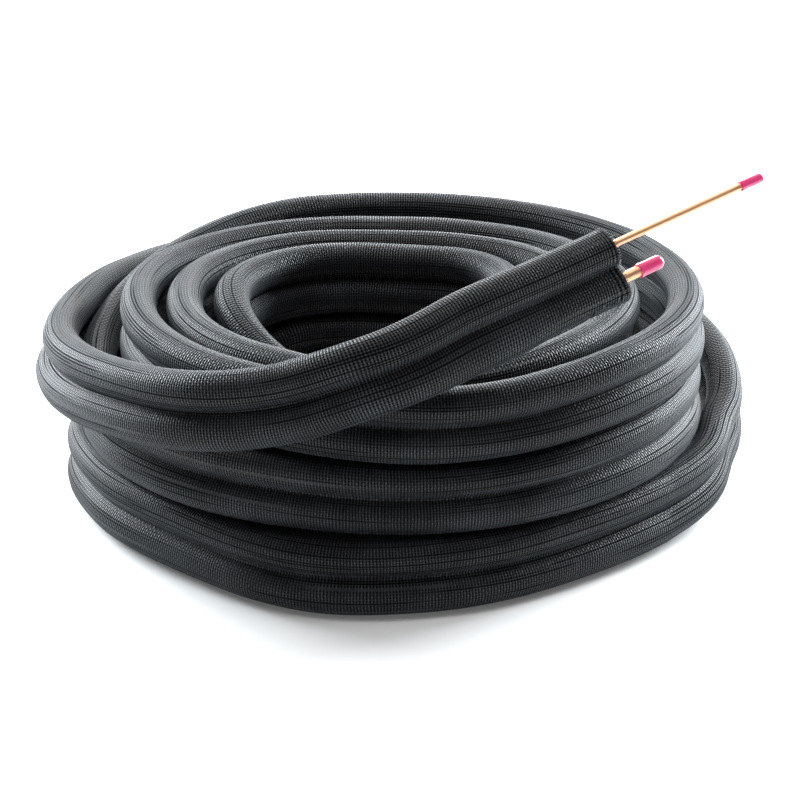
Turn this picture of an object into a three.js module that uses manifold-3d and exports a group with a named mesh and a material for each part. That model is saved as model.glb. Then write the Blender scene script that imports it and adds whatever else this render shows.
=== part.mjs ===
// Mini split line set: one coil of paired refrigerant tubes, in millimetres, +Z up.
// A thin liquid tube lies over a thicker suction tube. Each has a foam sleeve, and one woven
// jacket wraps the pair, so the section is a figure of eight that stands on its thicker lobe.
// The pair is wound anticlockwise seen from above in three layers. The last turn leaves the
// floor at the right, rises round the outside and ends free above the front of the coil.

import * as THREE from 'three';
import { mergeVertices } from 'three/addons/utils/BufferGeometryUtils.js';
import Module from 'manifold-3d';

// Tubes, foam and jacket
const LIQUID_OD = 6.35;
const SUCTION_OD = 9.52;
const TUBE_WALL = 0.8;
const FOAM_WALL = 12.3;
const JACKET_WALL = 0.5;
const FIT_GAP = 0.3;
const WAIST_HALF_WIDTH = 8;

// Coil
const TURN_GAP = 0.6;
const STEP = 15;
const FIRST_AZIMUTH = -30;

// Bore of the coil at its four quarters, measured from the origin to the innermost turn
const BORE = { right: 116, back: 81, left: 148, front: 130 };
// Room left between one column of turns and the next, at the same quarters
const COLUMN_SLACK = { right: 3.5, back: 4.2, left: 5, front: 3 };
// Extra room between the last inner column and the outer column of turns
const OUTER_SLACK = { right: 16, back: 35, left: -1, front: 1 };

// Cut ends
const SLEEVE_DEPTH = 60;
const LIQUID_STICKOUT = 158;
const SUCTION_STICKOUT = 50;
const FAR_LIQUID_STICKOUT = 55;
const FAR_SUCTION_STICKOUT = 30;
const CAP_WALL = 0.9;
const LIQUID_CAP_COVER = 19;
const SUCTION_CAP_COVER = 22;
const CAP_LIP = 0.5;
const CAP_LIP_LENGTH = 2.5;
// Height of a cap's round nose as a share of its radius
const CAP_NOSE = 0.8;

const TURN = 360;
const SQUARE = Math.PI / 4;
const rad = THREE.MathUtils.degToRad;

// Radii and heights that follow from the tubes
const foamRadius = (od) => od / 2 + FOAM_WALL;
const lobeRadius = (od) => foamRadius(od) + FIT_GAP + JACKET_WALL;
const SUCTION_LOBE = lobeRadius(SUCTION_OD);
const LIQUID_LOBE = lobeRadius(LIQUID_OD);
const WAIST_HEIGHT = SUCTION_LOBE + foamRadius(SUCTION_OD) + FIT_GAP / 2;
const LIQUID_HEIGHT = WAIST_HEIGHT + foamRadius(LIQUID_OD) + FIT_GAP / 2;
const SECTION_HEIGHT = LIQUID_HEIGHT + LIQUID_LOBE;
const LAYER = SECTION_HEIGHT + TURN_GAP;
const COLUMN = 2 * SUCTION_LOBE + TURN_GAP;

// Moves from one column or layer to the next: from azimuth, to azimuth, column, layer.
// The winding starts on top inside the bore, drops to the floor down the inside, and comes up
// again through the outer columns.
const START_COLUMN = -0.6;
const START_LAYER = 2;
const MOVES = [
  [-30, 60, 0, 2],
  [175, 270, 0, 1],
  [500, 590, 0, 0],
  [825, 905, 1.7, 0],
  [1080, 1150, 2, 0],
  [1150, 1220, 2, 1],
  [1415, 1505, 1, 1],
  [1705, 1775, 1, 2],
  [1980, 2070, 2, 2],
  [2340, 2430, 3, 2],
  [2630, 2720, 3, 1],
  [2970, 3060, 3.4, 0],
];

// The loose last turn, as it lies: azimuth, radius, height of its underside, lean in degrees.
// It swings out and up on the right, passes behind and comes forward over the front. The first
// and last rows only give the way in and the way out.
const LAST_TURN_START = 3060;
const LAST_TURN = [
  [-15, 286, 5, 0],
  [0, 287, 0, 0],
  [20, 274, 0, 0],
  [45, 258, 0, 0],
  [75, 267, 0, 0],
  [100, 256, 0, 0],
  [125, 246, 0, 0],
  [150, 258, 0, 0],
  [165, 277, 7, 0],
  [175, 285, 17, 0],
  [182, 295, 26, 0],
  [192, 302, 42, 0],
  [210, 303, 60, 0],
  [240, 297, 74, 0],
  [270, 292, 84, 0],
  [300, 296, 92, 0],
  [334, 306, 99, -5],
  [355, 310, 103, -10],
  [399, 309, 131, -6],
  [420, 308, 148, 0],
  [435, 292, 164, 0],
  [448, 281, 188, 0],
  [463, 254, 211, 0],
  [481, 243, 228, 0],
  [495, 251, 241, 0],
];

const smooth = (t) => {
  const u = THREE.MathUtils.clamp(t, 0, 1);
  return u * u * (3 - 2 * u);
};

// Catmull-Rom value between b and c
function spline(a, b, c, d, t) {
  const p = (c - a) / 2;
  const q = (d - b) / 2;
  return b + t * (p + t * (3 * (c - b) - 2 * p - q + t * (2 * (b - c) + p + q)));
}

// A value given at the four quarters, read at any azimuth
function quarters(values, azimuth) {
  const ring = [values.right, values.back, values.left, values.front];
  const turn = (((azimuth % TURN) + TURN) % TURN) / 90;
  const i = Math.floor(turn);
  const at = (k) => ring[(k + 4) % 4];
  return spline(at(i - 1), at(i), at(i + 1), at(i + 2), turn - i);
}

// Column and layer of the neat turns at a running azimuth
function slot(azimuth) {
  let column = START_COLUMN;
  let layer = START_LAYER;
  for (const [from, to, nextColumn, nextLayer] of MOVES) {
    const share = smooth((azimuth - from) / (to - from));
    column += (nextColumn - column) * share;
    layer += (nextLayer - layer) * share;
  }
  return { column, layer };
}

function neatTurn(azimuth) {
  const { column, layer } = slot(azimuth);
  const radius = quarters(BORE, azimuth)
    + column * (COLUMN + quarters(COLUMN_SLACK, azimuth))
    + Math.max(0, column - 2) * quarters(OUTER_SLACK, azimuth);
  return { radius, height: layer * LAYER, lean: 0 };
}

function lastTurn(azimuth) {
  const along = azimuth - LAST_TURN_START;
  let i = 1;
  while (i < LAST_TURN.length - 3 && LAST_TURN[i + 1][0] <= along) i += 1;
  const [a, b, c, d] = LAST_TURN.slice(i - 1, i + 3);
  const span = c[0] - b[0];
  const value = (n) => {
    const before = b[n] - (b[n] - a[n]) * span / (b[0] - a[0]);
    const after = c[n] + (d[n] - c[n]) * span / (d[0] - c[0]);
    return spline(before, b[n], c[n], after, (along - b[0]) / span);
  };
  return { radius: value(1), height: Math.max(0, value(2)), lean: value(3) };
}

function place(azimuth) {
  const at = azimuth < LAST_TURN_START ? neatTurn(azimuth) : lastTurn(azimuth);
  const point = new THREE.Vector3(
    at.radius * Math.cos(rad(azimuth)),
    at.radius * Math.sin(rad(azimuth)),
    at.height,
  );
  return { point, lean: at.lean };
}

// Stations along the whole pair, with a straight stretch at each cut end
const LAST_AZIMUTH = LAST_TURN_START + LAST_TURN[LAST_TURN.length - 2][0];

function stations() {
  const list = [];
  for (let azimuth = FIRST_AZIMUTH; azimuth < LAST_AZIMUTH - STEP / 2; azimuth += STEP) {
    list.push(place(azimuth));
  }
  list.push(place(LAST_AZIMUTH));
  const first = list[0];
  const second = place(FIRST_AZIMUTH + 1);
  const last = list[list.length - 1];
  const beforeLast = place(LAST_AZIMUTH - 1);
  const startWay = first.point.clone().sub(second.point).setZ(0).normalize();
  const endWay = last.point.clone().sub(beforeLast.point).normalize();
  list.unshift({ point: first.point.clone().addScaledVector(startWay, SLEEVE_DEPTH), lean: 0 });
  list.push({ point: last.point.clone().addScaledVector(endWay, SLEEVE_DEPTH), lean: last.lean });
  return list;
}

// The route as the extrusion reads it: its stations, and frames that keep the section upright
class Route extends THREE.Curve {
  constructor(list) {
    super();
    this.list = list;
  }

  getSpacedPoints() {
    return this.list.map((station) => station.point);
  }

  computeFrenetFrames() {
    const points = this.getSpacedPoints();
    const count = points.length;
    const tangents = points.map((point, i) => {
      const after = points[Math.min(i + 1, count - 1)];
      const before = points[Math.max(i - 1, 0)];
      return after.clone().sub(before).normalize();
    });
    const up = new THREE.Vector3(0, 0, 1);
    const normals = tangents.map((tangent, i) => up.clone().cross(tangent).normalize()
      .applyAxisAngle(tangent, rad(this.list[i].lean)));
    const binormals = tangents.map((tangent, i) => tangent.clone().cross(normals[i]));
    return { tangents, normals, binormals };
  }
}

// Figure of eight: two eight-sided lobes joined at a narrow waist, with a flat underside
function pairSection(inset) {
  const lobe = (radius, height, degrees) => {
    const reach = (radius - inset) / Math.cos(SQUARE / 2);
    return new THREE.Vector2(
      reach * Math.cos(rad(degrees)),
      height + reach * Math.sin(rad(degrees)),
    );
  };
  const right = [
    lobe(SUCTION_LOBE, SUCTION_LOBE, -67.5),
    lobe(SUCTION_LOBE, SUCTION_LOBE, -22.5),
    lobe(SUCTION_LOBE, SUCTION_LOBE, 22.5),
    new THREE.Vector2(WAIST_HALF_WIDTH - inset, WAIST_HEIGHT),
    lobe(LIQUID_LOBE, LIQUID_HEIGHT, -22.5),
    lobe(LIQUID_LOBE, LIQUID_HEIGHT, 22.5),
    lobe(LIQUID_LOBE, LIQUID_HEIGHT, 67.5),
  ];
  const left = right.map((p) => new THREE.Vector2(-p.x, p.y)).reverse();
  return new THREE.Shape([...right, ...left]);
}

function sweep(shape, list) {
  return new THREE.ExtrudeGeometry(shape, {
    steps: list.length - 1,
    extrudePath: new Route(list),
  });
}

// Frame of a cut end: its origin under the section on the cut face, +Z out along the tubes
function endFrame(station, inner) {
  const out = station.point.clone().sub(inner.point).normalize();
  const side = new THREE.Vector3(0, 0, 1).cross(out).normalize().applyAxisAngle(out, rad(station.lean));
  const above = out.clone().cross(side);
  const frame = new THREE.Group();
  frame.matrix.makeBasis(side, above, out).setPosition(station.point);
  frame.matrix.decompose(frame.position, frame.quaternion, frame.scale);
  return frame;
}

// Solids for cuts
const wasm = await Module();
wasm.setup();

function toManifold(geometry) {
  const bare = geometry.clone();
  bare.deleteAttribute('normal');
  bare.deleteAttribute('uv');
  const merged = mergeVertices(bare, 1e-4);
  return new wasm.Manifold(new wasm.Mesh({
    numProp: 3,
    vertProperties: new Float32Array(merged.attributes.position.array),
    triVerts: new Uint32Array(merged.index.array),
  }));
}

function toGeometry(solid) {
  const mesh = solid.getMesh();
  const geometry = new THREE.BufferGeometry();
  geometry.setAttribute('position', new THREE.BufferAttribute(mesh.vertProperties, 3));
  geometry.setIndex(new THREE.BufferAttribute(mesh.triVerts, 1));
  geometry.computeVertexNormals();
  return geometry;
}

// Materials
const jacketCloth = new THREE.MeshStandardMaterial({ color: 0x202225, roughness: 0.75, metalness: 0 });
const foam = new THREE.MeshStandardMaterial({ color: 0x2b2c2e, roughness: 0.95, metalness: 0 });
const copper = new THREE.MeshStandardMaterial({ color: 0xd9905f, roughness: 0.28, metalness: 1 });
const capVinyl = new THREE.MeshStandardMaterial({ color: 0xd9246f, roughness: 0.35, metalness: 0 });

const lineSet = new THREE.Group();
lineSet.name = 'mini_split_line_set';

function add(parent, name, geometry, material) {
  const mesh = new THREE.Mesh(geometry, material);
  mesh.name = name;
  parent.add(mesh);
  return mesh;
}

// Straight round piece of revolution with its axis along the end frame's +Z
function turned(profile, sides) {
  const geometry = new THREE.LatheGeometry(profile.map(([r, z]) => new THREE.Vector2(r, z)), sides);
  return geometry.rotateX(Math.PI / 2);
}

function foamSleeve(od) {
  const bore = od / 2 + FIT_GAP;
  const outer = foamRadius(od);
  const bottom = FIT_GAP - SLEEVE_DEPTH;
  return turned([[bore, bottom], [outer, bottom], [outer, 0], [bore, 0], [bore, bottom]], 20);
}

// Copper tube: open at its cut end, under its cap, and stopped at the bottom of the sleeve
function copperTube(od, stickout) {
  const outer = od / 2;
  const bore = outer - TUBE_WALL;
  const bottom = FIT_GAP - SLEEVE_DEPTH;
  const floor = bottom + TUBE_WALL;
  return turned([
    [0, bottom], [outer, bottom], [outer, stickout], [bore, stickout], [bore, floor], [0, floor],
  ], 16);
}

// Push-on end cap: a round-nosed cup with a rolled lip at its mouth
function endCap(od, stickout, cover) {
  const bore = od / 2 + FIT_GAP;
  const outer = bore + CAP_WALL;
  const mouth = stickout - cover;
  const inside = stickout + FIT_GAP;
  const shoulder = inside + CAP_WALL;
  const nose = Math.PI / 8;
  const dome = [1, 2, 3].map((k) => [
    outer * Math.cos(k * nose),
    shoulder + outer * Math.sin(k * nose) * CAP_NOSE,
  ]);
  return turned([
    [bore, mouth],
    [outer + CAP_LIP, mouth],
    [outer + CAP_LIP, mouth + CAP_LIP_LENGTH],
    [outer, mouth + CAP_LIP_LENGTH + CAP_LIP],
    [outer, shoulder],
    ...dome,
    [0, shoulder + outer * CAP_NOSE],
    [0, inside],
    [bore, inside],
    [bore, mouth],
  ], 16);
}

// One cut end: the sleeves of foam and the tubes inside the jacket's hem, and the two caps
function dressEnd(frame, prefix, liquidStickout, suctionStickout) {
  const tubes = [
    ['liquid', LIQUID_OD, LIQUID_HEIGHT, liquidStickout, LIQUID_CAP_COVER],
    ['suction', SUCTION_OD, SUCTION_LOBE, suctionStickout, SUCTION_CAP_COVER],
  ];
  for (const [line, od, height, stickout, cover] of tubes) {
    const axis = new THREE.Group();
    axis.position.set(0, height, 0);
    frame.add(axis);
    add(axis, `${prefix}_${line}_insulation`, foamSleeve(od), foam);
    add(axis, `${prefix}_${line}_tube`, copperTube(od, stickout), copper);
    add(axis, `${prefix}_${line}_cap`, endCap(od, stickout, cover), capVinyl);
  }
}

// Pocket at a cut end, where the jacket is a thin wall round the foam
function pocket(frame) {
  const shape = pairSection(JACKET_WALL);
  const geometry = new THREE.ExtrudeGeometry(shape, {
    depth: SLEEVE_DEPTH + FIT_GAP,
    bevelEnabled: false,
  });
  geometry.translate(0, 0, -SLEEVE_DEPTH);
  frame.updateMatrixWorld(true);
  return toManifold(geometry.applyMatrix4(frame.matrixWorld));
}

const route = stations();
const freeEnd = endFrame(route[route.length - 1], route[route.length - 2]);
const farEnd = endFrame(route[0], route[1]);
lineSet.add(freeEnd, farEnd);

const jacket = toManifold(sweep(pairSection(0), route))
  .subtract(pocket(freeEnd))
  .subtract(pocket(farEnd));
add(lineSet, 'woven_jacket', toGeometry(jacket), jacketCloth);
dressEnd(freeEnd, 'free_end', LIQUID_STICKOUT, SUCTION_STICKOUT);
dressEnd(farEnd, 'far_end', FAR_LIQUID_STICKOUT, FAR_SUCTION_STICKOUT);

// The set stands on the floor with the middle of its outline over the origin
const middle = new THREE.Box3().setFromObject(lineSet, true).getCenter(new THREE.Vector3());
lineSet.position.set(-middle.x, -middle.y, 0);

export default lineSet;
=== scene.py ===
"""The looks of a mini split line set: a coil of paired refrigerant tubes in one woven jacket.

Metres, +Z up. The winding is that of the solids, with a fine surface, some slack and some sag.
"""

import math
import random

import bpy
from bpy.props import FloatProperty, FloatVectorProperty, IntProperty, PointerProperty
from mathutils import Matrix, Vector, noise


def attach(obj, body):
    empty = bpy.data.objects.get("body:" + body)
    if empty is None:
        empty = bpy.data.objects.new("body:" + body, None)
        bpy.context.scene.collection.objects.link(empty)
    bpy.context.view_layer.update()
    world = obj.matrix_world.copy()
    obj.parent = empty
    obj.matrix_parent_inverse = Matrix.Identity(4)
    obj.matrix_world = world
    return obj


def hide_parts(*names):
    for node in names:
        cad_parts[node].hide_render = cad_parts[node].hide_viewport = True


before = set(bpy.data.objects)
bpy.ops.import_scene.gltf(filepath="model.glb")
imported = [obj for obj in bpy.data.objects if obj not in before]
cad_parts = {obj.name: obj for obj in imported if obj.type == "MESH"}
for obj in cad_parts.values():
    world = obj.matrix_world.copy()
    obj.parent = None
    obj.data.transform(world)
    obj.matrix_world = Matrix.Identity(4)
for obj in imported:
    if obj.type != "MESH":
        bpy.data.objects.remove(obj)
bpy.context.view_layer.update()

bl_info = {
    "name": "Mini split line set",
    "version": (1, 0, 0),
    "blender": (4, 5, 0),
    "location": "3D View > Sidebar > Line set",
    "description": "Dresses a coil of insulated twin tubes in its woven jacket, cut ends and caps",
    "category": "Object",
}

UP = Vector((0, 0, 1))
SHARP_ANGLE = 35
FABRIC_ANGLE = 60

# Tubes, foam and jacket
LIQUID_OD = 0.00635
SUCTION_OD = 0.00952
TUBE_WALL = 0.0008
FOAM_WALL = 0.0123
JACKET_WALL = 0.0005
FIT_GAP = 0.0003
WAIST_HALF_WIDTH = 0.008

# Cut ends. A cap's cover is how far it reaches down its tube. Its nose is the height of its
# round end as a share of its radius. A small flat disc closes it inside and outside
SLEEVE_DEPTH = 0.060
LIQUID_STICKOUT = 0.158
SUCTION_STICKOUT = 0.046
FAR_LIQUID_STICKOUT = 0.055
FAR_SUCTION_STICKOUT = 0.030
CAP_WALL = 0.0009
CAP_COVER = {"liquid": 0.019, "suction": 0.018}
CAP_LIP = 0.0002
CAP_LIP_LENGTH = 0.0025
CAP_EDGE = 0.0002
CAP_SHOULDER = 0.004
CAP_NOSE = 0.95
CAP_INNER_DISC = 0.0004
CAP_OUTER_DISC = 0.0003
NOSE_RINGS = 9
TUBE_RINGS = 12
TUBE_EDGE = 0.0003
FOAM_EDGE = 0.0006

# The jacket's hem stands past the foam by a slant: more at the section's foot than at its top
HEM_LOW = 0.008
HEM_HIGH = 0.0
HEM_WAVE = 0.0012
HEM_WAVE_LENGTH = 0.012

# Section heights that follow from the tubes
FOAM_RADIUS = {"liquid": LIQUID_OD / 2 + FOAM_WALL, "suction": SUCTION_OD / 2 + FOAM_WALL}
LIQUID_LOBE = FOAM_RADIUS["liquid"] + FIT_GAP + JACKET_WALL
SUCTION_LOBE = FOAM_RADIUS["suction"] + FIT_GAP + JACKET_WALL
WAIST_HEIGHT = SUCTION_LOBE + FOAM_RADIUS["suction"] + FIT_GAP / 2
LIQUID_HEIGHT = WAIST_HEIGHT + FOAM_RADIUS["liquid"] + FIT_GAP / 2
SECTION_HEIGHT = LIQUID_HEIGHT + LIQUID_LOBE

# Coil: the winding of the solids round its own axis, 2 mm slacker on the outer right
TURN_GAP = 0.0006
LAYER = SECTION_HEIGHT + TURN_GAP
COLUMN = 2 * SUCTION_LOBE + TURN_GAP
COIL_AXIS = Vector((0.00739, -0.00510, 0))
FIRST_AZIMUTH = -30
BORE = {"right": 0.116, "back": 0.081, "left": 0.148, "front": 0.130}
COLUMN_SLACK = {"right": 0.0035, "back": 0.0042, "left": 0.005, "front": 0.003}
OUTER_SLACK = {"right": 0.018, "back": 0.035, "left": -0.001, "front": 0.001}

# Moves from one column or layer to the next: from azimuth, to azimuth, column, layer
START_COLUMN = -0.6
START_LAYER = 2
MOVES = (
    (-30, 60, 0, 2),
    (175, 270, 0, 1),
    (500, 590, 0, 0),
    (825, 905, 1.7, 0),
    (1080, 1150, 2, 0),
    (1150, 1220, 2, 1),
    (1415, 1505, 1, 1),
    (1705, 1775, 1, 2),
    (1980, 2070, 2, 2),
    (2340, 2430, 3, 2),
    (2630, 2720, 3, 1),
    (2970, 3060, 3.4, 0),
)

# The loose last turn: azimuth, radius, height of its underside, lean in degrees
LAST_TURN_START = 3060
LAST_TURN = (
    (-15, 0.286, 0.005, 0),
    (0, 0.287, 0, 0),
    (20, 0.274, 0, 0),
    (45, 0.258, 0, 0),
    (75, 0.267, 0, 0),
    (100, 0.256, 0, 0),
    (125, 0.246, 0, 0),
    (150, 0.258, 0, 0),
    (165, 0.277, 0.007, 0),
    (175, 0.285, 0.017, 0),
    (182, 0.295, 0.026, 0),
    (192, 0.302, 0.042, 0),
    (210, 0.303, 0.060, 0),
    (240, 0.297, 0.074, 0),
    (270, 0.292, 0.084, 0),
    (300, 0.296, 0.092, 0),
    (334, 0.306, 0.099, -5),
    (355, 0.310, 0.103, -10),
    (399, 0.309, 0.131, -6),
    (420, 0.308, 0.148, 0),
    (435, 0.292, 0.164, 0),
    (448, 0.281, 0.188, 0),
    (463, 0.254, 0.211, 0),
    (481, 0.243, 0.228, 0),
    (495, 0.251, 0.241, 0),
)
LAST_AZIMUTH = LAST_TURN_START + LAST_TURN[-2][0]

# The thick tube's lobe hangs a little in the free span, between these distances from the end
SAG = 0.006
SAG_START, SAG_RISE = 0.22, 0.08
SAG_FINISH, SAG_FALL = 0.045, 0.07

# The crossing end presses the turns below it flatter, the more so the higher they lie: all but
# the loose length that ends in it
PRESS = 0.009
PRESS_AZIMUTH = 280
PRESS_SPREAD = 42
PRESS_BOTTOM = 0.04
PRESS_HEIGHT = 0.15
LOOSE_LENGTH = 1.9

# Unevenness: the stray of the turns, always from one seed, then the swell and pleats of the
# jacket. All fade out towards a cut end. Lengths are along the pair and widths round it
STRAY_SEED = 7
STRAY_LENGTH = 0.17
STRAY_FADE = 0.12
SWELL = 0.0004
SWELL_LENGTH, SWELL_WIDTH = 0.05, 0.02
PLEAT = 0.00035
PLEAT_LENGTH, PLEAT_WIDTH = 0.09, 0.009
PUSH_FADE = 0.02

# Loose threads at a cut edge: tails all round it, and a comb of hoops below the lower lobe, that
# starts and finishes at these angles in degrees
TAIL_REACH = (0.0004, 0.0022)
TAIL_BEND = (-0.0006, 0.0006)
TAIL_LIFT = (-0.0002, 0.0005)
COMB_TEETH = 15
COMB_POINTS = 8
COMB_GAP = 0.0005
COMB_START = (-30, -15)
COMB_FINISH = (-76, -66)
COMB_DROP = (0.004, 0.008)

# Stage: each soft box has its name, place, size, power and colour
FLOOR_SIZE = 14
FLOOR_PLACE = (0, 3, -0.0005)
COOL = (0.90, 0.96, 1.0)
PLAIN = (1.0, 1.0, 1.0)
SOFT_BOXES = (
    ("left_back_box", (-2.0, 1.6, 1.0), 1.6, 215, COOL),
    ("right_back_box", (2.0, 1.6, 1.0), 1.6, 130, COOL),
    ("right_low_box", (2.2, 1.5, 0.75), 1.5, 115, COOL),
    ("back_box", (0, 2.6, 1.2), 2.0, 92, PLAIN),
    ("top_box", (0, 0, 2.8), 2.4, 50, PLAIN),
    ("front_box", (0, -1.2, 2.6), 2.0, 14, PLAIN),
)
BOX_AIM = Vector((0, 0, 0.1))
CAMERA_PLACE = COIL_AXIS + Vector((0, -2.1325, 0.9616))
CAMERA_AIM = COIL_AXIS + Vector((0, 0, 0.0815))
SENSOR_WIDTH = 36


# The winding

def smooth(t):
    u = min(max(t, 0.0), 1.0)
    return u * u * (3 - 2 * u)


def spline(a, b, c, d, t):
    """Catmull-Rom value between b and c."""
    p = (c - a) / 2
    q = (d - b) / 2
    return b + t * (p + t * (3 * (c - b) - 2 * p - q + t * (2 * (b - c) + p + q)))


def quarters(values, azimuth):
    """A value given at the four quarters, read at any azimuth."""
    ring = (values["right"], values["back"], values["left"], values["front"])
    turn = (azimuth % 360) / 90
    i = math.floor(turn)
    return spline(ring[(i - 1) % 4], ring[i % 4], ring[(i + 1) % 4], ring[(i + 2) % 4], turn - i)


def slot(azimuth):
    """Column and layer of the neat turns at a running azimuth."""
    column, layer = START_COLUMN, START_LAYER
    for start, end, next_column, next_layer in MOVES:
        share = smooth((azimuth - start) / (end - start))
        column += (next_column - column) * share
        layer += (next_layer - layer) * share
    return column, layer


def neat_turn(azimuth):
    column, layer = slot(azimuth)
    radius = (quarters(BORE, azimuth)
              + column * (COLUMN + quarters(COLUMN_SLACK, azimuth))
              + max(0, column - 2) * quarters(OUTER_SLACK, azimuth))
    return radius, layer * LAYER, 0


def last_turn(azimuth):
    along = azimuth - LAST_TURN_START
    i = 1
    while i < len(LAST_TURN) - 3 and LAST_TURN[i + 1][0] <= along:
        i += 1
    a, b, c, d = LAST_TURN[i - 1:i + 3]
    span = c[0] - b[0]

    def value(n):
        before = b[n] - (b[n] - a[n]) * span / (b[0] - a[0])
        after = c[n] + (d[n] - c[n]) * span / (d[0] - c[0])
        return spline(before, b[n], c[n], after, (along - b[0]) / span)

    return value(1), max(0.0, value(2)), value(3)


def place(azimuth):
    """Point under the pair at a running azimuth, and its lean in degrees."""
    turn = neat_turn if azimuth < LAST_TURN_START else last_turn
    radius, height, lean = turn(azimuth)
    angle = math.radians(azimuth)
    point = COIL_AXIS + Vector((radius * math.cos(angle), radius * math.sin(angle), height))
    return point, lean


def winding(step):
    """Points and leans along the whole pair, a step apart, with a straight stretch at each end."""
    azimuth = FIRST_AZIMUTH
    line = []
    while azimuth < LAST_AZIMUTH:
        point, lean = place(azimuth)
        line.append((point, lean))
        azimuth += math.degrees(step / (point - COIL_AXIS).to_2d().length)
    line.append(place(LAST_AZIMUTH))
    start_way = (line[0][0] - place(FIRST_AZIMUTH + 1)[0])
    start_way.z = 0
    start_way.normalize()
    end_way = (line[-1][0] - place(LAST_AZIMUTH - 1)[0]).normalized()
    count = round(SLEEVE_DEPTH / step)
    lead = [(line[0][0] + start_way * (SLEEVE_DEPTH * k / count), 0) for k in range(count, 0, -1)]
    tail = [(line[-1][0] + end_way * (SLEEVE_DEPTH * k / count), line[-1][1])
            for k in range(1, count + 1)]
    return lead + line + tail


def frames(line):
    """At each point of the line: the point, then the side, up and forward directions there."""
    points = [point for point, _ in line]
    last = len(points) - 1
    result = []
    for i, (point, lean) in enumerate(line):
        forward = (points[min(i + 1, last)] - points[max(i - 1, 0)]).normalized()
        side = UP.cross(forward).normalized()
        side.rotate(Matrix.Rotation(math.radians(lean), 3, forward))
        result.append((point, side, forward.cross(side), forward))
    return result


def end_matrix(line, far):
    """Frame of a cut end: origin under the section on the cut face, +Z out along the tubes."""
    point, side, above, forward = frames(line)[0 if far else -1]
    out = -forward if far else forward
    side = -side if far else side
    turn = Matrix((side, above, out)).transposed().to_4x4()
    return Matrix.Translation(point) @ turn


# The section

def waist_fillet(lower, upper, rise, half_width):
    """Radius of the hollow between two lobes, and its centre's height over the lower lobe's."""
    low, high = 0.0001, 0.02
    for _ in range(40):
        hollow = (low + high) / 2
        below = math.sqrt((lower - half_width) * (lower + half_width + 2 * hollow))
        above = math.sqrt((upper - half_width) * (upper + half_width + 2 * hollow))
        low, high = (hollow, high) if below + above < rise else (low, hollow)
    return hollow, below


def pair_section(inset=0.0, arc_points=10, hollow_points=4):
    """Figure of eight of the jacket's surface, anticlockwise from its lowest point."""
    lower, upper = SUCTION_LOBE - inset, LIQUID_LOBE - inset
    rise = LIQUID_HEIGHT - SUCTION_LOBE
    hollow, below = waist_fillet(lower, upper, rise, WAIST_HALF_WIDTH - inset)
    start = math.asin(below / (lower + hollow))
    finish = math.asin((rise - below) / (upper + hollow))
    right = []
    for k in range(arc_points):
        angle = -math.pi / 2 + (start + math.pi / 2) * k / arc_points
        right.append((lower * math.cos(angle), SUCTION_LOBE + lower * math.sin(angle)))
    centre = (WAIST_HALF_WIDTH - inset + hollow, SUCTION_LOBE + below)
    for k in range(hollow_points):
        angle = math.pi + start - (start + finish) * k / hollow_points
        right.append((centre[0] + hollow * math.cos(angle), centre[1] + hollow * math.sin(angle)))
    for k in range(arc_points + 1):
        angle = -finish + (finish + math.pi / 2) * k / arc_points
        right.append((upper * math.cos(angle), LIQUID_HEIGHT + upper * math.sin(angle)))
    left = [(-x, y) for x, y in reversed(right[1:-1])]
    return right + left


def arc_lengths(outline):
    """Distance round a closed outline up to each point, with the whole way round as the last."""
    lengths = [0.0]
    for k, (x, y) in enumerate(outline):
        next_x, next_y = outline[(k + 1) % len(outline)]
        lengths.append(lengths[-1] + math.hypot(next_x - x, next_y - y))
    return lengths


def hem(x, y):
    """How far past the foam's face the jacket was cut, at a point of the section."""
    slant = HEM_LOW + (HEM_HIGH - HEM_LOW) * min(max(y / SECTION_HEIGHT, 0), 1)
    return slant + HEM_WAVE * noise.noise(Vector((x / HEM_WAVE_LENGTH, y / HEM_WAVE_LENGTH, 3)))


def sagged(y, to_end):
    """Drop of a point of the section at a height, a way from the free end."""
    span = smooth((SAG_START - to_end) / SAG_RISE) * smooth((to_end - SAG_FINISH) / SAG_FALL)
    return SAG * span * smooth((WAIST_HEIGHT - y) / (WAIST_HEIGHT - SUCTION_LOBE))


def pressed(spot):
    """Drop of a point of the neat turns below the crossing end."""
    way = spot - COIL_AXIS
    azimuth = math.degrees(math.atan2(way.y, way.x)) % 360
    near = smooth(1 - abs(azimuth - PRESS_AZIMUTH) / PRESS_SPREAD)
    return PRESS * near * smooth((spot.z - PRESS_BOTTOM) / PRESS_HEIGHT)


# Scene helpers

def linear(hex_colour):
    """sRGB hex such as '#202225' as linear RGBA."""
    parts = [int(hex_colour[k:k + 2], 16) / 255 for k in (1, 3, 5)]
    return (*(c / 12.92 if c <= 0.04045 else ((c + 0.055) / 1.055) ** 2.4 for c in parts), 1.0)


def add_node(material, kind, inputs=None, **settings):
    """Add a node with its settings; inputs holds a value or the socket to link for each input."""
    tree = material.node_tree
    node = tree.nodes.new(kind)
    for name, value in settings.items():
        setattr(node, name, value)
    for name, value in (inputs or {}).items():
        if isinstance(value, bpy.types.NodeSocket):
            tree.links.new(value, node.inputs[name])
        else:
            node.inputs[name].default_value = value
    return node


def new_material(name):
    """A material with no nodes yet."""
    material = bpy.data.materials.new(name)
    material.use_nodes = True
    material.node_tree.nodes.clear()
    return material


def finish_material(material, shader):
    add_node(material, "ShaderNodeOutputMaterial", {"Surface": shader.outputs[0]})
    return material


def deselect():
    if bpy.context.object and bpy.context.object.mode != "OBJECT":
        bpy.ops.object.mode_set(mode="OBJECT")
    bpy.ops.object.select_all(action="DESELECT")


def dress(piece, nodes, material):
    """Give a finished piece its material and body, and hide the solids that it stands for."""
    piece.data.materials.clear()
    piece.data.materials.append(material)
    if nodes:
        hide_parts(*nodes)
    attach(piece, "root")


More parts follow.
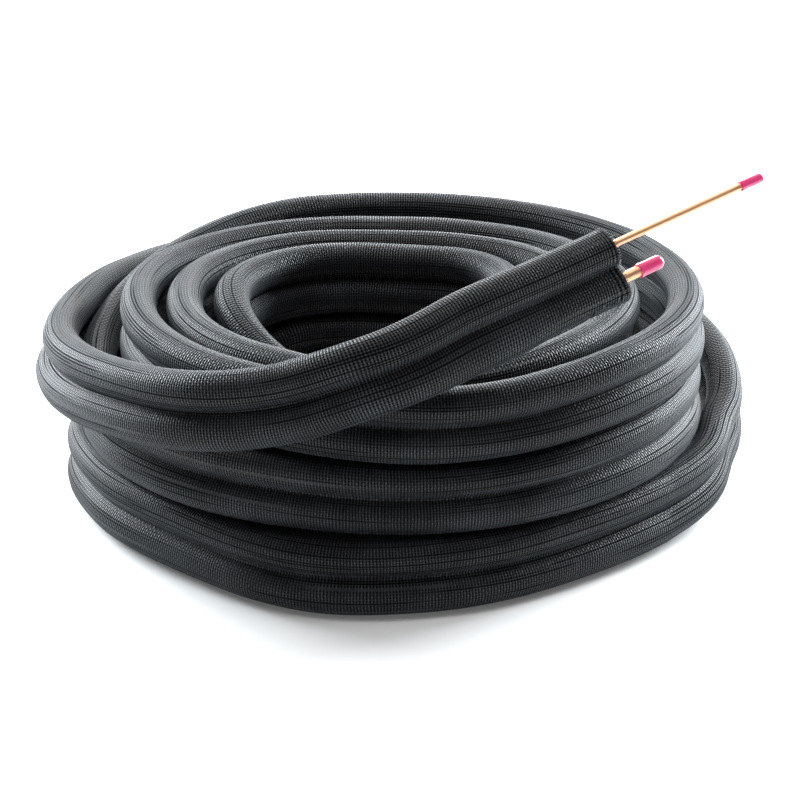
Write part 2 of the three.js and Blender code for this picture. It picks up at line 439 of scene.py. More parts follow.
def put(piece, matrix):
    """Move a piece's mesh to its place and leave its object at the origin."""
    piece.matrix_world = matrix @ piece.matrix_world
    deselect()
    piece.select_set(True)
    bpy.context.view_layer.objects.active = piece
    bpy.ops.object.transform_apply(location=True, rotation=True, scale=True)


def turned(name, rings, sides, closed):
    """Turn a piece as on a lathe: a ring of edges is drawn out along its profile.

    rings holds (radius, height) pairs; a closed piece joins its last ring to its first, and
    another one is closed at both ends by a face."""
    deselect()
    radius, height = rings[0]
    bpy.ops.mesh.primitive_circle_add(
        vertices=sides, radius=radius, fill_type="NOTHING" if closed else "NGON",
        location=(0, 0, height))
    piece = bpy.context.object
    piece.name = name
    bpy.ops.object.transform_apply(location=True, rotation=False, scale=False)
    bpy.ops.object.mode_set(mode="EDIT")
    bpy.ops.mesh.select_mode(type="EDGE")
    bpy.ops.mesh.select_all(action="SELECT")
    if not closed:
        bpy.ops.mesh.region_to_loop()
    for next_radius, next_height in rings[1:]:
        bpy.ops.mesh.extrude_edges_move(
            TRANSFORM_OT_translate={"value": (0, 0, next_height - height)})
        factor = next_radius / radius
        bpy.ops.transform.resize(value=(factor, factor, 1), center_override=(0, 0, next_height))
        radius, height = next_radius, next_height
    if closed:
        bpy.ops.mesh.select_all(action="SELECT")
        bpy.ops.mesh.region_to_loop()
        bpy.ops.mesh.bridge_edge_loops()
    else:
        bpy.ops.mesh.edge_face_add()
    bpy.ops.mesh.select_all(action="SELECT")
    bpy.ops.mesh.normals_make_consistent(inside=False)
    bpy.ops.object.mode_set(mode="OBJECT")
    bpy.ops.object.shade_smooth_by_angle(angle=math.radians(SHARP_ANGLE))
    return piece


# Materials

def woven_jacket_material(settings):
    """Polyester monofilament sleeve, knitted in hoops with lengthwise threads on a circular loom.

    Each thread is a round, half-shiny bead, so lit sides sparkle; the gaps between are painted near
    black as shade.
    """
    material = new_material("knitted_polyester_monofilament")

    def math_node(operation, first, second=None, third=None):
        inputs = {0: first}
        if second is not None:
            inputs[1] = second
        if third is not None:
            inputs[2] = third
        return add_node(material, "ShaderNodeMath", inputs, operation=operation).outputs[0]

    surface = add_node(material, "ShaderNodeUVMap", uv_map="Weave").outputs["UV"]
    # Hoops lean and bow by nearly a pitch, as a machine-made net pulled over foam does, and the
    # lengthwise threads drift slowly round the tube
    bow = add_node(material, "ShaderNodeTexNoise",
                   {"Vector": surface, "Scale": 1 / 0.030, "Detail": 1.0})
    drift_space = add_node(material, "ShaderNodeMapping",
                           {"Vector": surface, "Scale": (1 / 0.20, 1 / 0.05, 1)})
    drift = add_node(material, "ShaderNodeTexNoise",
                     {"Vector": drift_space.outputs[0], "Scale": 1.0, "Detail": 0.0})
    offset = add_node(material, "ShaderNodeCombineXYZ",
                      {"X": math_node("MULTIPLY", bow.outputs[0], 0.0026),
                       "Y": math_node("MULTIPLY", drift.outputs[0], 0.0060)})
    pulled = add_node(material, "ShaderNodeVectorMath",
                      {0: surface, 1: offset.outputs[0]}, operation="ADD")
    split = add_node(material, "ShaderNodeSeparateXYZ", {0: pulled.outputs[0]})
    hoops = math_node("MULTIPLY", split.outputs["X"], math.pi / settings.hoop_pitch)
    threads = math_node("MULTIPLY", split.outputs["Y"], math.pi / settings.thread_pitch)
    hoop_wave = math_node("COSINE", hoops)
    thread_wave = math_node("COSINE", threads)
    # A round thread lies over its neighbour at one crossing and under it at the next
    over_under = math_node("MULTIPLY", hoop_wave, thread_wave)
    hoop_lift = math_node("MULTIPLY_ADD", over_under, 0.18, 0.82)
    thread_lift = math_node("MULTIPLY_ADD", over_under, -0.18, 0.63)
    hoop_height = math_node("MULTIPLY", math_node("ABSOLUTE", hoop_wave), hoop_lift)
    thread_height = math_node("MULTIPLY", math_node("ABSOLUTE", thread_wave), thread_lift)
    weave = math_node("SMOOTH_MAX", hoop_height, thread_height, 0.08)

    # Between two lengthwise threads the net is open, pulled apart to a line painted near black as
    # shade, or bunched so that no gap shows: each space keeps its state for about 300 mm
    space = math_node("FLOOR", math_node("DIVIDE", split.outputs["Y"], settings.thread_pitch))
    space_along = add_node(material, "ShaderNodeCombineXYZ",
                           {"X": math_node("MULTIPLY", split.outputs["X"], 1 / 0.30),
                            "Y": math_node("MULTIPLY", space, 5.3)})
    states = add_node(material, "ShaderNodeTexNoise",
                      {"Vector": space_along.outputs[0], "Scale": 1.0, "Detail": 1.0})
    pulled_apart = add_node(material, "ShaderNodeMapRange",
                            {"Value": states.outputs[0], "From Min": 0.46, "From Max": 0.40},
                            interpolation_type="SMOOTHSTEP")
    bunched = add_node(material, "ShaderNodeMapRange",
                       {"Value": states.outputs[0], "From Min": 0.63, "From Max": 0.74},
                       interpolation_type="SMOOTHSTEP")
    # Shallow lengthwise pleats, some 11 mm wide and 250 mm long
    pleat_space = add_node(material, "ShaderNodeMapping",
                           {"Vector": surface, "Scale": (1 / 0.25, 1 / 0.011, 1)})
    pleats = add_node(material, "ShaderNodeTexNoise",
                      {"Vector": pleat_space.outputs[0], "Scale": 1.0, "Detail": 1.0})
    # Cross wrinkles where a bend pushes the net together on its inner side: 7 mm apart
    pucker_space = add_node(material, "ShaderNodeMapping",
                            {"Vector": surface, "Scale": (1 / 0.007, 1 / 0.035, 1)})
    wrinkles = add_node(material, "ShaderNodeTexNoise",
                        {"Vector": pucker_space.outputs[0], "Scale": 1.0, "Detail": 1.0})
    girth = arc_lengths(pair_section())[-1]
    inner_side = math_node("PINGPONG", math_node("SUBTRACT", split.outputs["Y"], 0.25 * girth),
                           0.5 * girth)
    inner_share = add_node(material, "ShaderNodeMapRange",
                           {"Value": inner_side,
                            "From Min": 0.24 * girth, "From Max": 0.16 * girth},
                           interpolation_type="SMOOTHSTEP")
    crowded = add_node(material, "ShaderNodeTexNoise",
                       {"Vector": surface, "Scale": 1 / 0.15, "Detail": 0.0})
    crowded_share = add_node(material, "ShaderNodeMapRange",
                             {"Value": crowded.outputs[0], "From Min": 0.50, "From Max": 0.62},
                             interpolation_type="SMOOTHSTEP")
    puckers = math_node("MULTIPLY", wrinkles.outputs[0],
                        math_node("MULTIPLY", inner_share.outputs[0], crowded_share.outputs[0]))
    # Scuffs and dust: patches some 60 mm across, lighter than the rest
    patches = add_node(material, "ShaderNodeTexNoise",
                       {"Vector": surface, "Scale": 1 / 0.06, "Detail": 4.0, "Roughness": 0.6})

    # Thread flanks, the gaps between threads and the pulled-apart lines take the gap colour:
    # painted shade down between the threads
    on_thread = add_node(material, "ShaderNodeMapRange",
                         {"Value": weave, "From Min": 0.40, "From Max": 0.92},
                         interpolation_type="SMOOTHSTEP")
    off_row = add_node(material, "ShaderNodeMapRange",
                       {"Value": thread_height, "From Min": 0.55, "From Max": 0.25},
                       interpolation_type="SMOOTHSTEP")
    closed = math_node("MAXIMUM", on_thread.outputs[0],
                       math_node("MULTIPLY", bunched.outputs[0], 0.6))
    dark = math_node("MULTIPLY", off_row.outputs[0],
                     math_node("MULTIPLY", pulled_apart.outputs[0], 0.85))
    lit = math_node("MULTIPLY", closed, math_node("SUBTRACT", 1.0, dark))
    dust = add_node(material, "ShaderNodeMapRange",
                    {"Value": patches.outputs[0], "From Min": 0.45, "From Max": 0.75})
    thread_colour = add_node(
        material, "ShaderNodeMix",
        {"Factor": dust.outputs[0], "A": tuple(settings.thread_colour),
         "B": tuple(settings.dust_and_sheen_colour)},
        data_type="RGBA")
    # The gap colour here is painted shade, near black wherever the weave is low or pulled apart
    colour = add_node(
        material, "ShaderNodeMix",
        {"Factor": lit, "A": tuple(settings.gap_shade_colour), "B": thread_colour.outputs["Result"]},
        data_type="RGBA")
    roughness = add_node(material, "ShaderNodeMapRange",
                         {"Value": lit, "To Min": 0.90, "To Max": 0.44})
    # Nothing shines down in the gaps
    shine = math_node("MULTIPLY", lit, 0.5)

    pleat_bump = add_node(material, "ShaderNodeBump",
                          {"Height": pleats.outputs[0], "Distance": 0.0012, "Strength": 0.5})
    pucker_bump = add_node(material, "ShaderNodeBump",
                           {"Height": puckers, "Distance": 0.0022, "Strength": 0.7,
                            "Normal": pleat_bump.outputs[0]})
    weave_bump = add_node(material, "ShaderNodeBump",
                          {"Height": weave, "Distance": settings.thread_height,
                           "Strength": 1.0, "Normal": pucker_bump.outputs[0]})
    shader = add_node(
        material, "ShaderNodeBsdfPrincipled",
        {"Base Color": colour.outputs["Result"], "Roughness": roughness.outputs[0], "IOR": 1.55,
         "Specular IOR Level": shine, "Sheen Weight": 0.14, "Sheen Roughness": 0.35,
         "Sheen Tint": linear("#b4bfcc"), "Normal": weave_bump.outputs[0]})
    return finish_material(material, shader)


def thread_material(settings):
    """Loose ends of the same polyester thread: single round filaments, half shiny, painted lighter
    than the jacket's threads as a painted sheen.
    """
    material = new_material("loose_polyester_thread")
    grain = add_node(material, "ShaderNodeTexNoise",
                     {"Vector": add_node(material, "ShaderNodeTexCoord").outputs["Object"],
                      "Scale": 1 / 0.004, "Detail": 2.0})
    # Lighter than the jacket's threads: painted sheen, with a random grain
    colour = add_node(material, "ShaderNodeMix",
                      {"Factor": grain.outputs[0], "A": tuple(settings.dust_and_sheen_colour),
                       "B": linear("#5a5f64")}, data_type="RGBA")
    shader = add_node(material, "ShaderNodeBsdfPrincipled",
                      {"Base Color": colour.outputs["Result"], "Roughness": 0.4, "IOR": 1.55})
    return finish_material(material, shader)


def foam_material():
    """Cut polyethylene foam: closed cells near 0.6 mm, matt, painted darker in each cell's hollow
    as shade and a little lighter on their rims.
    """
    material = new_material("cut_closed_cell_foam")
    place_on = add_node(material, "ShaderNodeTexCoord").outputs["Object"]
    cells = add_node(material, "ShaderNodeTexVoronoi", {"Vector": place_on, "Scale": 1 / 0.0009})
    # Painted shade: each cell darker towards its middle, where the bump makes it hollow
    colour = add_node(material, "ShaderNodeMix",
                      {"Factor": cells.outputs["Distance"], "A": linear("#1b1c1e"),
                       "B": linear("#3a3b3d")}, data_type="RGBA")
    bump = add_node(material, "ShaderNodeBump",
                    {"Height": cells.outputs["Distance"], "Distance": 0.0003, "Strength": 0.7})
    shader = add_node(material, "ShaderNodeBsdfPrincipled",
                      {"Base Color": colour.outputs["Result"], "Roughness": 0.9, "IOR": 1.45,
                       "Normal": bump.outputs[0]})
    return finish_material(material, shader)


def copper_material():
    """Soft-drawn copper tube: a bright skin with faint die lines along the tube."""
    material = new_material("soft_drawn_copper_tube")
    surface = add_node(material, "ShaderNodeUVMap", uv_map="Turned").outputs["UV"]
    lines_space = add_node(material, "ShaderNodeMapping",
                           {"Vector": surface, "Scale": (1 / 0.0004, 1 / 0.05, 1)})
    lines = add_node(material, "ShaderNodeTexNoise",
                     {"Vector": lines_space.outputs[0], "Scale": 1.0, "Detail": 2.0})
    tarnish = add_node(material, "ShaderNodeTexNoise",
                       {"Vector": surface, "Scale": 1 / 0.012, "Detail": 5.0, "Roughness": 0.6})
    colour = add_node(material, "ShaderNodeMix",
                      {"Factor": tarnish.outputs[0], "A": linear("#f2c6a2"),
                       "B": linear("#e8ae84")}, data_type="RGBA")
    roughness = add_node(material, "ShaderNodeMapRange",
                         {"Value": tarnish.outputs[0], "To Min": 0.42, "To Max": 0.58})
    bump = add_node(material, "ShaderNodeBump",
                    {"Height": lines.outputs[0], "Distance": 0.00003, "Strength": 0.5})
    shader = add_node(material, "ShaderNodeBsdfPrincipled",
                      {"Base Color": colour.outputs["Result"], "Metallic": 1.0,
                       "Roughness": roughness.outputs[0], "Normal": bump.outputs[0]})
    return finish_material(material, shader)


def vinyl_material(settings):
    """Dip-moulded soft vinyl: glossy, faintly wavy and slightly see-through at thin edges."""
    material = new_material("dip_moulded_vinyl")
    place_on = add_node(material, "ShaderNodeTexCoord").outputs["Object"]
    waves = add_node(material, "ShaderNodeTexNoise",
                     {"Vector": place_on, "Scale": 1 / 0.006, "Detail": 1.0})
    streaks = add_node(material, "ShaderNodeTexNoise",
                       {"Vector": place_on, "Scale": 1 / 0.015, "Detail": 3.0})
    colour = add_node(material, "ShaderNodeMix",
                      {"Factor": streaks.outputs[0], "A": tuple(settings.cap_colour),
                       "B": tuple(settings.cap_pale_colour)}, data_type="RGBA")
    bump = add_node(material, "ShaderNodeBump",
                    {"Height": waves.outputs[0], "Distance": 0.0003, "Strength": 0.4})
    shader = add_node(material, "ShaderNodeBsdfPrincipled",
                      {"Base Color": colour.outputs["Result"], "Roughness": 0.30, "IOR": 1.53,
                       "Subsurface Weight": 0.25, "Subsurface Radius": (0.003, 0.001, 0.001),
                       "Coat Weight": 0.3, "Coat Roughness": 0.08, "Normal": bump.outputs[0]})
    return finish_material(material, shader)


def floor_material(settings):
    """Matt white studio paper with a very faint grain."""
    material = new_material("matt_white_paper")
    grain = add_node(material, "ShaderNodeTexNoise",
                     {"Vector": add_node(material, "ShaderNodeTexCoord").outputs["Object"],
                      "Scale": 1 / 0.004, "Detail": 2.0})
    colour = add_node(material, "ShaderNodeMix",
                      {"Factor": grain.outputs[0], "A": tuple(settings.floor_colour),
                       "B": linear("#fbfbfb")}, data_type="RGBA")
    shader = add_node(material, "ShaderNodeBsdfPrincipled",
                      {"Base Color": colour.outputs["Result"], "Roughness": 0.9,
                       "Emission Color": linear("#ffffff"), "Emission Strength": 0.10})
    return finish_material(material, shader)


# Settings that a user would change

class JacketSettings(bpy.types.PropertyGroup):
    """Sizes and colours of the woven jacket."""

    step: FloatProperty(
        name="Step", description="Length of jacket between two rings of points",
        default=0.006, min=0.003, unit="LENGTH")
    hoop_pitch: FloatProperty(
        name="Hoop pitch", description="Distance from one hoop thread to the next",
        default=0.0025, min=0.001, unit="LENGTH")
    thread_pitch: FloatProperty(
        name="Thread pitch", description="Distance from one lengthwise thread to the next",
        default=0.0025, min=0.001, unit="LENGTH")
    thread_height: FloatProperty(
        name="Thread height", description="How far a thread stands over the gaps beside it",
        default=0.0007, min=0.0, unit="LENGTH")
    unevenness: FloatProperty(
        name="Unevenness", description="How far the hand-wound turns stray from a true line",
        default=0.0012, min=0.0, unit="LENGTH")
    thread_colour: FloatVectorProperty(
        name="Thread", description="Colour of the clean threads", subtype="COLOR", size=4,
        default=linear("#1b1e21"), min=0, max=1)
    # Scuffs and dust on the jacket; also the darker end of the loose threads' painted sheen
    dust_and_sheen_colour: FloatVectorProperty(
        name="Scuffed thread", description="Colour of the threads where they are scuffed",
        subtype="COLOR", size=4, default=linear("#3a3f43"), min=0, max=1)
    # Painted shade: the colour down between the threads and in the pulled-apart lines
    gap_shade_colour: FloatVectorProperty(
        name="Gap", description="Colour between the threads", subtype="COLOR", size=4,
        default=linear("#08090a"), min=0, max=1)


class EndSettings(bpy.types.PropertyGroup):
    """Sizes and colours at the cut ends."""

    sides: IntProperty(
        name="Sides", description="Sides of each turned piece", default=48, min=12)
    cap_colour: FloatVectorProperty(
        name="Cap", description="Colour of the end caps", subtype="COLOR", size=4,
        default=linear("#e2286a"), min=0, max=1)
    cap_pale_colour: FloatVectorProperty(
        name="Cap, thin places", description="Colour of the end caps where the vinyl is thin",
        subtype="COLOR", size=4, default=linear("#ec4f8b"), min=0, max=1)
    thread_thickness: FloatProperty(
        name="Thread thickness", description="Thickness of a loose thread at the cut edge",
        default=0.0009, min=0.0001, unit="LENGTH")


class StageSettings(bpy.types.PropertyGroup):
    """Floor, light and camera."""

    lens: FloatProperty(
        name="Lens", description="Focal length of the camera in millimetres", default=114.4)
    floor_colour: FloatVectorProperty(
        name="Floor", description="Colour of the floor", subtype="COLOR", size=4,
        default=linear("#f7f7f7"), min=0, max=1)
    light: FloatProperty(
        name="Light", description="Brightness of the soft boxes", default=1.0, min=0.0)
    world: FloatProperty(
        name="Surroundings", description="Brightness of the white surroundings",
        default=0.04, min=0.0)


# Operators

class LINESET_OT_jacket(bpy.types.Operator):
    """Sweep the woven jacket along the winding"""

    bl_idname = "lineset.jacket"
    bl_label = "Woven jacket"

    def execute(self, context):
        settings = context.scene.lineset_jacket
        outline = pair_section()
        inner = pair_section(JACKET_WALL)
        around = arc_lengths(outline)
        thread_count = round(around[-1] / settings.thread_pitch / 2) * 2
        around_scale = thread_count * settings.thread_pitch / around[-1]
        line = winding(settings.step)
        vertices = []
        along = [0.0]
        stations = frames(line)
        noise.seed_set(STRAY_SEED)
        for i, (point, side, above, forward) in enumerate(stations):
            if i:
                along.append(along[-1] + (point - stations[i - 1][0]).length)
            near_end = min(i, len(stations) - 1 - i) * settings.step
            stray = smooth(near_end / STRAY_FADE) * settings.unevenness
            drift = noise.noise_vector(Vector((along[-1] / STRAY_LENGTH, 0, 0)))
            shift = side * drift.x * stray + above * abs(drift.y) * stray * 0.5
            to_end = (len(stations) - 1 - i) * settings.step
            loose_turn = to_end < LOOSE_LENGTH
            for k, (x, y) in enumerate(outline):
                swell = SWELL * noise.noise(Vector(
                    (along[-1] / SWELL_LENGTH, around[k] / SWELL_WIDTH, 7)))
                pleat = PLEAT * noise.noise(Vector(
                    (along[-1] / PLEAT_LENGTH, around[k] / PLEAT_WIDTH, 21)))
                middle = LIQUID_HEIGHT if y > WAIST_HEIGHT else SUCTION_LOBE
                out = Vector((x, y - middle)).normalized()
                push = (swell + pleat) * smooth(near_end / PUSH_FADE)
                spot = point + shift + side * (x + out.x * push) + above * (y + out.y * push)
                if i == 0 or to_end == 0:
                    spot += forward * (hem(x, y) if i else -hem(x, y))
                spot.z -= sagged(y, to_end) if loose_turn else pressed(spot)
                spot.z = max(spot.z, 0.0)
                vertices.append(spot)
        size = len(outline)
        rings = len(stations)
        faces = []
        weave = []
        for i in range(rings - 1):
            for k in range(size):
                n = (k + 1) % size
                faces.append((i * size + k, i * size + n, (i + 1) * size + n, (i + 1) * size + k))
                v0, v1 = around[k] * around_scale, around[k + 1] * around_scale
                u0, u1 = along[i], along[i + 1]
                weave.append(((u0, v0), (u0, v1), (u1, v1), (u1, v0)))
        for far in (True, False):
            self.pocket(vertices, faces, weave, stations, inner, size, rings, far, along,
                        [a * around_scale for a in around])
        mesh = bpy.data.meshes.new("woven_jacket_fabric")
        mesh.from_pydata(vertices, [], faces)
        layer = mesh.uv_layers.new(name="Weave")
        flat = [value for face in weave for corner in face for value in corner]
        layer.data.foreach_set("uv", flat)
        mesh.update()
        piece = bpy.data.objects.new("woven_jacket_fabric", mesh)
        context.scene.collection.objects.link(piece)
        deselect()
        piece.select_set(True)
        context.view_layer.objects.active = piece
        bpy.ops.object.mode_set(mode="EDIT")
        bpy.ops.mesh.select_all(action="SELECT")
        bpy.ops.mesh.normals_make_consistent(inside=False)
        bpy.ops.object.mode_set(mode="OBJECT")
        bpy.ops.object.shade_smooth_by_angle(angle=math.radians(FABRIC_ANGLE))
        dress(piece, ["woven_jacket"], woven_jacket_material(settings))
        return {"FINISHED"}

    def pocket(self, vertices, faces, weave, stations, inner, size, rings, far, along, around):
        """Turn the jacket in at a cut end and close it behind the foam."""
        edge = 0 if far else (rings - 1) * size
        point, side, above, forward = stations[0 if far else -1]
        inward = forward if far else -forward
        starts = []
        for depth in (0.0, SLEEVE_DEPTH - FIT_GAP):
            starts.append(len(vertices))
            for x, y in inner:
                reach = depth - (0 if depth else hem(x, y))
                vertices.append(point + side * x + above * y + inward * reach)
        u = along[0] if far else along[-1]

        def band(first, second, u_first, u_second):
            for k in range(size):
                n = (k + 1) % size
                ring = (first + k, second + k, second + n, first + n)
                corners = ((u_first, around[k]), (u_second, around[k]),
                           (u_second, around[k + 1]), (u_first, around[k + 1]))
                faces.append(ring if far else ring[::-1])
                weave.append(corners if far else corners[::-1])

        # Seen from outside the end, the hem runs in from the edge and the wall runs down the pocket
        band(starts[0], edge, u, u)
        band(starts[1], starts[0], u + SLEEVE_DEPTH, u)
        last = tuple(starts[1] + k for k in range(size))
        faces.append(last if not far else last[::-1])
        weave.append(tuple((0.0, 0.0) for _ in last))


class LINESET_OT_cut_ends(bpy.types.Operator):
    """Model the foam sleeves, copper tubes and caps at both cut ends"""

    bl_idname = "lineset.cut_ends"
    bl_label = "Tubes, foam and caps"

    def execute(self, context):
        settings = context.scene.lineset_ends
        foam = foam_material()
        vinyl = vinyl_material(settings)
        copper = copper_material()
        line = winding(context.scene.lineset_jacket.step)
        ends = (
            ("free_end", False, {"liquid": LIQUID_STICKOUT, "suction": SUCTION_STICKOUT}),
            ("far_end", True, {"liquid": FAR_LIQUID_STICKOUT, "suction": FAR_SUCTION_STICKOUT}),
        )
        tubes = (
            ("liquid", LIQUID_OD, LIQUID_HEIGHT),
            ("suction", SUCTION_OD, SUCTION_LOBE),
        )
        for prefix, far, stickouts in ends:
            for line_name, od, height in tubes:
                matrix = end_matrix(line, far) @ Matrix.Translation((0, height, 0))
                label = f"{prefix}_{line_name}"
                sleeve = self.sleeve(label, od, settings.sides)
                put(sleeve, matrix)
                dress(sleeve, [f"{label}_insulation"], foam)
                stickout = stickouts[line_name]
                tube = self.tube(label, od, stickout, settings.sides)
                put(tube, matrix)
                dress(tube, [f"{label}_tube"], copper)
                cap = self.cap(label, od, stickout, CAP_COVER[line_name], settings.sides)
                put(cap, matrix)
                dress(cap, [f"{label}_cap"], vinyl)
        return {"FINISHED"}

    def sleeve(self, label, od, sides):
        bore = od / 2 + FIT_GAP
        outer = od / 2 + FOAM_WALL
        bottom = FIT_GAP - SLEEVE_DEPTH
        rings = [(bore, bottom), (outer, bottom), (outer, -FOAM_EDGE), (outer - FOAM_EDGE, 0),
                 (bore + FOAM_EDGE, 0), (bore, -FOAM_EDGE)]
        return turned(label + "_foam_sleeve", rings, sides, closed=True)

    def tube(self, label, od, stickout, sides):
        outer = od / 2
        bore = outer - TUBE_WALL
        bottom = FIT_GAP - SLEEVE_DEPTH
        rings = [(bore, bottom)]
        rings += [(outer, bottom + (stickout - bottom) * k / TUBE_RINGS) for k in range(TUBE_RINGS)]
        rings += [(outer, stickout - TUBE_EDGE), (outer - TUBE_EDGE, stickout), (bore, stickout)]
        piece = turned(label + "_copper_tube", rings, sides, closed=True)
        wrap(piece, outer)
        return piece

    def cap(self, label, od, stickout, cover, sides):
        bore = od / 2 + FIT_GAP
        outer = bore + CAP_WALL
        mouth = stickout - cover
        inside = stickout + FIT_GAP
        shoulder = inside + CAP_WALL
        lip = outer + CAP_LIP
        lip_top = mouth + CAP_LIP_LENGTH
        rings = [(CAP_INNER_DISC, inside), (bore * 0.9, inside), (bore, inside - bore * 0.1),
                 (bore, mouth), (bore + CAP_EDGE, mouth - CAP_EDGE),
                 (lip - 2 * CAP_EDGE, mouth - CAP_EDGE), (lip, mouth + 1.5 * CAP_EDGE),
                 (lip, lip_top - 3 * CAP_EDGE), (outer + CAP_EDGE / 2, lip_top + CAP_LIP),
                 (outer, shoulder - CAP_SHOULDER), (outer, shoulder)]
        for k in range(1, NOSE_RINGS):
            angle = math.pi / 2 * k / NOSE_RINGS
            rings.append((outer * math.cos(angle), shoulder + outer * CAP_NOSE * math.sin(angle)))
        rings.append((CAP_OUTER_DISC, shoulder + outer * CAP_NOSE))
        return turned(label + "_vinyl_cap", rings, sides, closed=False)


def wrap(piece, radius):
    """UV map of a turned piece in metres: round it, then along it."""
    layer = piece.data.uv_layers.new(name="Turned")
    for face in piece.data.polygons:
        middle = math.atan2(face.center.y, face.center.x)
        for loop in face.loop_indices:
            co = piece.data.vertices[piece.data.loops[loop].vertex_index].co
            angle = math.atan2(co.y, co.x)
            angle += 2 * math.pi * round((middle - angle) / (2 * math.pi))
            layer.data[loop].uv = (angle * radius, co.z)


class LINESET_OT_loose_threads(bpy.types.Operator):
    """Fray the cut edges of the jacket"""

    bl_idname = "lineset.loose_threads"
    bl_label = "Loose threads"

    def execute(self, context):
        jacket = context.scene.lineset_jacket
        ends = context.scene.lineset_ends
        material = thread_material(jacket)
        line = winding(jacket.step)
        outline = pair_section(-ends.thread_thickness / 2)
        for prefix, far in (("free_end", False), ("far_end", True)):
            random.seed(11 if far else 5)
            curve = bpy.data.curves.new(prefix + "_loose_threads", "CURVE")
            curve.dimensions = "3D"
            curve.bevel_depth = ends.thread_thickness / 2
            curve.bevel_resolution = 1
            curve.use_fill_caps = True
            self.tails(curve, outline, jacket.thread_pitch)
            self.hoops(curve, jacket.hoop_pitch, 1 if far else -1)
            piece = bpy.data.objects.new(prefix + "_loose_threads", curve)
            context.scene.collection.objects.link(piece)
            deselect()
            piece.select_set(True)
            context.view_layer.objects.active = piece
            bpy.ops.object.convert(target="MESH")
            piece = context.object
            put(piece, end_matrix(line, far))
            dress(piece, [], material)
        return {"FINISHED"}

    def strand(self, curve, points):
        spline_made = curve.splines.new("POLY")
        spline_made.points.add(len(points) - 1)
        for target, point in zip(spline_made.points, points):
            target.co = (*point, 1)

    def tails(self, curve, outline, pitch):
        """Short ends of the lengthwise threads, standing out of the cut edge."""
        lengths = arc_lengths(outline)
        count = int(lengths[-1] / pitch)
        for n in range(count):
            want = n * pitch
            k = max(i for i, value in enumerate(lengths[:-1]) if value <= want)
            x0, y0 = outline[k]
            x1, y1 = outline[(k + 1) % len(outline)]
            t = (want - lengths[k]) / (lengths[k + 1] - lengths[k])
            x, y = x0 + (x1 - x0) * t, y0 + (y1 - y0) * t
            reach = random.uniform(*TAIL_REACH)
            bend = random.uniform(*TAIL_BEND)
            lift = random.uniform(*TAIL_LIFT)
            out = Vector((x, y - (LIQUID_HEIGHT if y > WAIST_HEIGHT else SUCTION_LOBE)))
            out.normalize()
            points = []
            for s in (-0.5, 0.0, 0.5, 1.0):
                drift = max(0, s) ** 2
                points.append((x + out.x * lift * drift + out.y * bend * drift,
                               y + out.y * lift * drift - out.x * bend * drift,
                               hem(x, y) + s * reach))
            self.strand(curve, points)

    def hoops(self, curve, pitch, side):
        """Hoop threads that have come off the edge and hang below the lower lobe, like a comb.

        side is 1 or -1, for the side of the section that they hang on."""
        radius = SUCTION_LOBE + COMB_GAP
        for n in range(COMB_TEETH):
            depth = HEM_LOW - (n + 0.5) * pitch
            start = math.radians(random.uniform(*COMB_START))
            finish = math.radians(random.uniform(*COMB_FINISH))
            points = []
            for k in range(COMB_POINTS):
                angle = start + (finish - start) * k / (COMB_POINTS - 1)
                points.append((side * radius * math.cos(angle),
                               SUCTION_LOBE + radius * math.sin(angle), depth))
            # Teeth in the middle of the comb are the longest
            drop = random.uniform(*COMB_DROP) * math.sin(math.pi * (n + 2) / (COMB_TEETH + 3))
            x, y, z = points[-1]
            for s in (0.5, 1.0):
                points.append((x + side * drop * 0.15 * s, y - drop * s, z + 0.0006 * s))
            self.strand(curve, points)


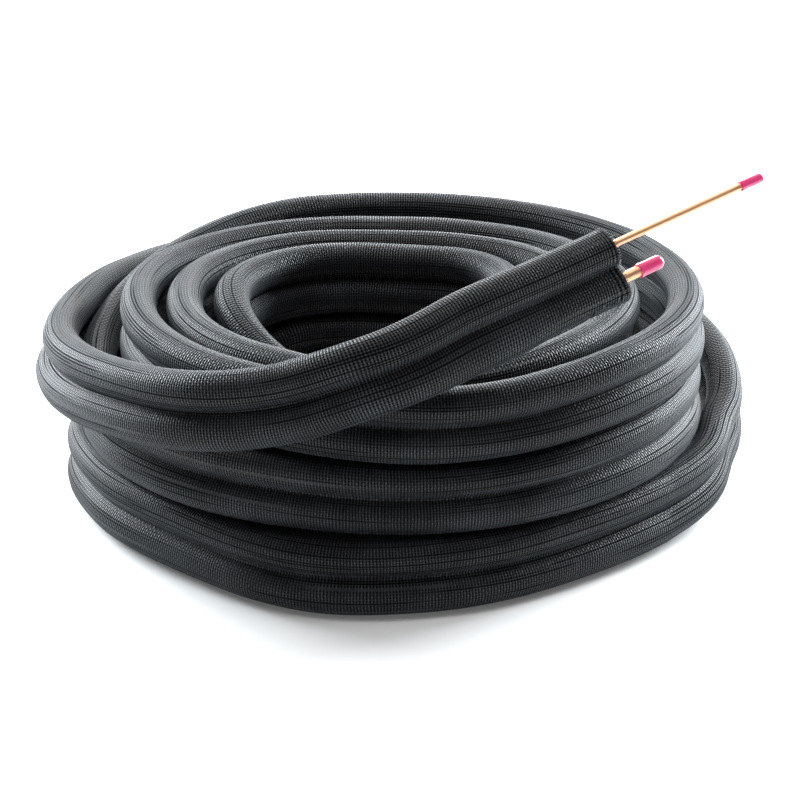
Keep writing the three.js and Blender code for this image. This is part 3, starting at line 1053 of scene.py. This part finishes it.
class LINESET_OT_stage(bpy.types.Operator):
    """Lay the floor, set the soft lights and the camera"""

    bl_idname = "lineset.stage"
    bl_label = "Floor, light and camera"

    def execute(self, context):
        settings = context.scene.lineset_stage
        deselect()
        bpy.ops.mesh.primitive_plane_add(size=FLOOR_SIZE, location=FLOOR_PLACE)
        floor = context.object
        floor.name = "studio_floor"
        bpy.ops.object.transform_apply(location=True, rotation=False, scale=False)
        floor.data.materials.append(floor_material(settings))
        self.lights(context, settings)
        self.camera(context, settings)
        return {"FINISHED"}

    def lights(self, context, settings):
        for name, place_at, size, power, colour in SOFT_BOXES:
            data = bpy.data.lights.new(name, "AREA")
            data.shape = "DISK"
            data.size = size
            data.energy = power * settings.light
            data.color = colour
            lamp = bpy.data.objects.new(name, data)
            lamp.location = place_at
            aim = BOX_AIM - lamp.location
            lamp.rotation_euler = aim.to_track_quat("-Z", "Y").to_euler()
            context.scene.collection.objects.link(lamp)
        world = bpy.data.worlds.new("white_studio")
        world.use_nodes = True
        background = world.node_tree.nodes["Background"]
        background.inputs["Color"].default_value = (1, 1, 1, 1)
        background.inputs["Strength"].default_value = settings.world
        context.scene.world = world
        context.scene.view_settings.view_transform = "Standard"

    def camera(self, context, settings):
        data = bpy.data.cameras.new("camera")
        data.lens = settings.lens
        data.sensor_width = SENSOR_WIDTH
        camera = bpy.data.objects.new("camera", data)
        camera.location = CAMERA_PLACE
        aim = CAMERA_AIM - camera.location
        camera.rotation_euler = aim.to_track_quat("-Z", "Y").to_euler()
        context.scene.collection.objects.link(camera)
        context.scene.camera = camera


class LINESET_PT_panel(bpy.types.Panel):
    """Settings and steps of the line set"""

    bl_label = "Line set"
    bl_space_type = "VIEW_3D"
    bl_region_type = "UI"
    bl_category = "Line set"

    def draw(self, context):
        layout = self.layout
        for group in (context.scene.lineset_jacket, context.scene.lineset_ends,
                      context.scene.lineset_stage):
            box = layout.box()
            for name in group.__annotations__:
                box.prop(group, name)
        for operator in OPERATORS:
            layout.operator(operator.bl_idname)


OPERATORS = (
    LINESET_OT_stage,
    LINESET_OT_jacket,
    LINESET_OT_cut_ends,
    LINESET_OT_loose_threads,
)
CLASSES = (JacketSettings, EndSettings, StageSettings, *OPERATORS, LINESET_PT_panel)


def register():
    for cls in CLASSES:
        bpy.utils.register_class(cls)
    bpy.types.Scene.lineset_jacket = PointerProperty(type=JacketSettings)
    bpy.types.Scene.lineset_ends = PointerProperty(type=EndSettings)
    bpy.types.Scene.lineset_stage = PointerProperty(type=StageSettings)


def unregister():
    del bpy.types.Scene.lineset_stage
    del bpy.types.Scene.lineset_ends
    del bpy.types.Scene.lineset_jacket
    for cls in reversed(CLASSES):
        bpy.utils.unregister_class(cls)


def main():
    register()
    bpy.ops.lineset.stage()
    bpy.ops.lineset.jacket()
    bpy.ops.lineset.cut_ends()
    bpy.ops.lineset.loose_threads()


if __name__ == "__main__":
    main()
